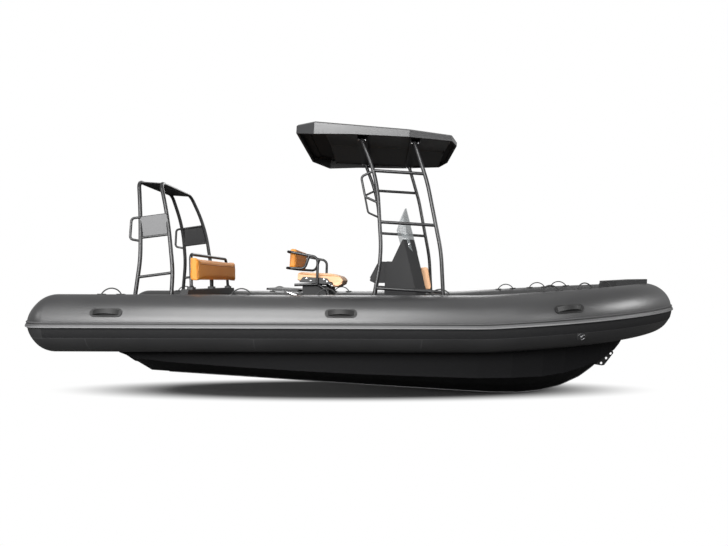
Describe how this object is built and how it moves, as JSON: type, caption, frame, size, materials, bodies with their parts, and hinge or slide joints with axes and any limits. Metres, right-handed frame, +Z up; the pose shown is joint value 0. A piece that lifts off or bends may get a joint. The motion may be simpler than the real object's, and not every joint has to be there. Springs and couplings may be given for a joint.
{
  "type": "rigid inflatable boat",
  "caption": "Rigid inflatable boat with a tube collar round a rounded bow, V hull, centre console, hard T-top, tilting helm seat, rear bench and roll bar.",
  "frame": {"origin": "on the centreline at the waterline, halfway along the boat's length", "axes": "+X forward to the bow, +Y to port, +Z up; the keel's flat run is level"},
  "size_m": [6.2729, 2.557, 2.596],
  "materials": {
    "aft_deck": "moulded deck, satin",
    "bar_panels": "powder-coated sheet",
    "bar_rack": "powder-coated sheet",
    "bench_backrest": "tan marine vinyl",
    "bench_beam": "powder-coated beam",
    "bench_box": "dark moulding",
    "bench_cushion": "tan marine vinyl",
    "bench_frame": "powder-coated tube",
    "bench_lid": "dark moulding",
    "bow_deck": "moulded deck, satin",
    "bow_eye": "dark coated plate",
    "bow_lid": "moulded lid, satin",
    "bow_step": "dark moulded step",
    "collar_bow": "coated fabric tube, satin grey",
    "collar_port": "coated fabric tube, satin grey",
    "collar_starboard": "coated fabric tube, satin grey",
    "console": "dark moulding, satin",
    "console_pad": "tan marine vinyl",
    "dash": "dark moulding, matt",
    "fore_seat_box": "dark moulding",
    "fore_seat_cushion": "tan marine vinyl",
    "fore_seat_lid": "dark moulding",
    "helm_backrest": "tan marine vinyl",
    "helm_seat_box": "dark moulding",
    "helm_seat_cushion": "tan marine vinyl",
    "helm_seat_pan": "powder-coated pan",
    "helm_seat_rail": "powder-coated tube",
    "helm_seat_rims": "powder-coated tube",
    "hull": "dark gel-coated laminate, satin",
    "lifeline_loops": "black braided rope",
    "loop_patches": "round rubber patches",
    "roll_bar": "powder-coated tube",
    "roof": "grey moulding, satin",
    "roof_channels": "powder-coated channel",
    "rub_strake": "ribbed rubber strake, lighter grey",
    "shelf": "dark board",
    "shelf_brackets": "stainless brackets",
    "sole": "non-slip moulded sole",
    "tow_rings": "stainless ring on a patch",
    "transom": "dark gel-coated laminate",
    "ttop_frame_port": "powder-coated tube, dark grey",
    "ttop_frame_starboard": "powder-coated tube, dark grey",
    "tube_handles": "moulded rubber handles",
    "wear_band": "reinforcing band, dark",
    "windscreen": "clear smoked screen"
  },
  "bodies": {
    "boat": {"aft_deck": "aft_deck", "bar_panels": "bar_panels", "bar_rack": "bar_rack", "bench_backrest": "bench_backrest", "bench_beam": "bench_beam", "bench_box": "bench_box", "bench_frame": "bench_frame", "bow_deck": "bow_deck", "bow_eye": "bow_eye", "bow_step": "bow_step", "collar_bow": "collar_bow", "collar_port": "collar_port", "collar_starboard": "collar_starboard", "console": "console", "console_pad": "console_pad", "dash": "dash", "fore_seat_box": "fore_seat_box", "helm_seat_box": "helm_seat_box", "helm_seat_rims": "helm_seat_rims", "hull": "hull", "lifeline_loops": "lifeline_loops", "loop_patches": "loop_patches", "roll_bar": "roll_bar", "roof": "roof", "roof_channels": "roof_channels", "rub_strake": "rub_strake", "shelf": "shelf", "shelf_brackets": "shelf_brackets", "sole": "sole", "tow_rings": "tow_rings", "transom": "transom", "ttop_frame_port": "ttop_frame_port", "ttop_frame_starboard": "ttop_frame_starboard", "tube_handles": "tube_handles", "wear_band": "wear_band", "windscreen": "windscreen"},
    "helm_seat": {"helm_seat_pan": "helm_seat_pan", "helm_seat_rail": "helm_seat_rail", "helm_seat_cushion": "helm_seat_cushion", "helm_backrest": "helm_backrest"},
    "fore_seat": {"fore_seat_lid": "fore_seat_lid", "fore_seat_cushion": "fore_seat_cushion"},
    "bench_seat": {"bench_lid": "bench_lid", "bench_cushion": "bench_cushion"},
    "bow_hatch": {"bow_lid": "bow_lid"}
  },
  "joints": [
    {"name": "helm_seat_tilt", "type": "hinge", "parent": "boat", "child": "helm_seat", "pos_m": [-0.47, 0, 0.762], "axis": [0, 1, 0], "range_deg": [0, 65]},
    {"name": "fore_seat_lift", "type": "hinge", "parent": "boat", "child": "fore_seat", "pos_m": [0.949, 0, 0.492], "axis": [0, 1, 0], "range_deg": [0, 85]},
    {"name": "bench_seat_lift", "type": "hinge", "parent": "boat", "child": "bench_seat", "pos_m": [-1.351, 0, 0.392], "axis": [0, 1, 0], "range_deg": [0, 80]},
    {"name": "bow_hatch_lift", "type": "hinge", "parent": "boat", "child": "bow_hatch", "pos_m": [2.271, 0, 0.459], "axis": [0, 1, 0], "range_deg": [0, 95]}
  ]
}
